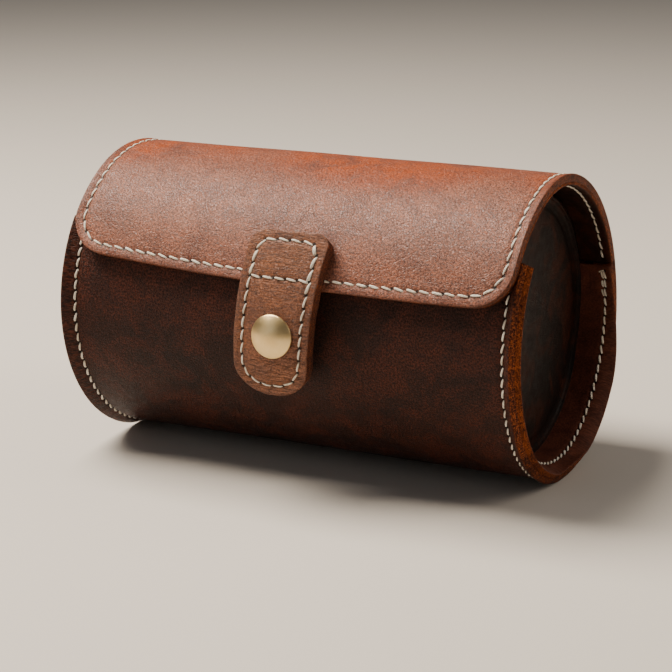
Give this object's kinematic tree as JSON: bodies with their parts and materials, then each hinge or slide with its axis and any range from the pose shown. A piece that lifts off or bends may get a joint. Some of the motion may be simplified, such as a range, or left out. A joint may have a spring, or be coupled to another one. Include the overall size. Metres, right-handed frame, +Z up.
{
  "type": "cylindrical leather flap case",
  "caption": "Horizontal leather cylinder case with a hinged flap lid, snap tab, sewn rims and recessed round ends.",
  "frame": {"origin": "middle of the flat strip under the case, which it rests on", "axes": "+X along the cylinder towards the right-hand end seen from the front, -Y towards the snap tab, +Z up"},
  "size_m": [0.144, 0.1004, 0.0909],
  "materials": {
    "body_leather": "oiled pull-up leather, satin, dark chocolate brown, raw cut edges",
    "flap_leather": "oiled pull-up leather, satin, mid brown with rust-red burnished patches",
    "tab_leather": "oiled pull-up leather, satin, orange-brown, fine cross wrinkles",
    "end_leather": "smooth dark brown leather, matte",
    "suede_lining": "brushed suede-like lining, matte",
    "grey_board": "compressed grey board, hidden",
    "waxed_thread": "waxed polyester thread, cream",
    "snap_brass": "plated snap fastener, pale antique brass, satin"
  },
  "bodies": {
    "case": {"wrap_leather": "body_leather", "wrap_lining": "suede_lining", "snap_stud": "snap_brass", "snap_stud_post": "snap_brass", "left_end_flange": "body_leather", "left_end_facing": "end_leather", "left_end_board": "grey_board", "left_end_lining": "suede_lining", "left_rim_thread_outer": "waxed_thread", "left_rim_thread_inner": "waxed_thread", "right_end_flange": "body_leather", "right_end_facing": "end_leather", "right_end_board": "grey_board", "right_end_lining": "suede_lining", "right_rim_thread_outer": "waxed_thread", "right_rim_thread_inner": "waxed_thread"},
    "flap": {"flap_leather": "flap_leather", "flap_lining": "suede_lining", "flap_thread_outer": "waxed_thread", "left_flap_thread_inner": "waxed_thread", "right_flap_thread_inner": "waxed_thread", "tab_anchor_face": "tab_leather", "tab_anchor_backing": "tab_leather", "tab_anchor_thread": "waxed_thread"},
    "tab": {"tab_face": "tab_leather", "tab_backing": "tab_leather", "tab_thread_outer": "waxed_thread", "tab_thread_inner": "waxed_thread", "snap_cap": "snap_brass", "snap_socket": "snap_brass", "snap_socket_spring": "snap_brass"}
  },
  "joints": [
    {"name": "flap_hinge", "type": "hinge", "parent": "case", "child": "flap", "pos_m": [0, 0.04275, 0.05751], "axis": [-1, 0, 0], "range_deg": [0, 150]},
    {"name": "tab_fold", "type": "hinge", "parent": "flap", "child": "tab", "pos_m": [0, -0.05051, 0.06332], "axis": [-1, 0, 0], "range_deg": [0, 90]}
  ]
}
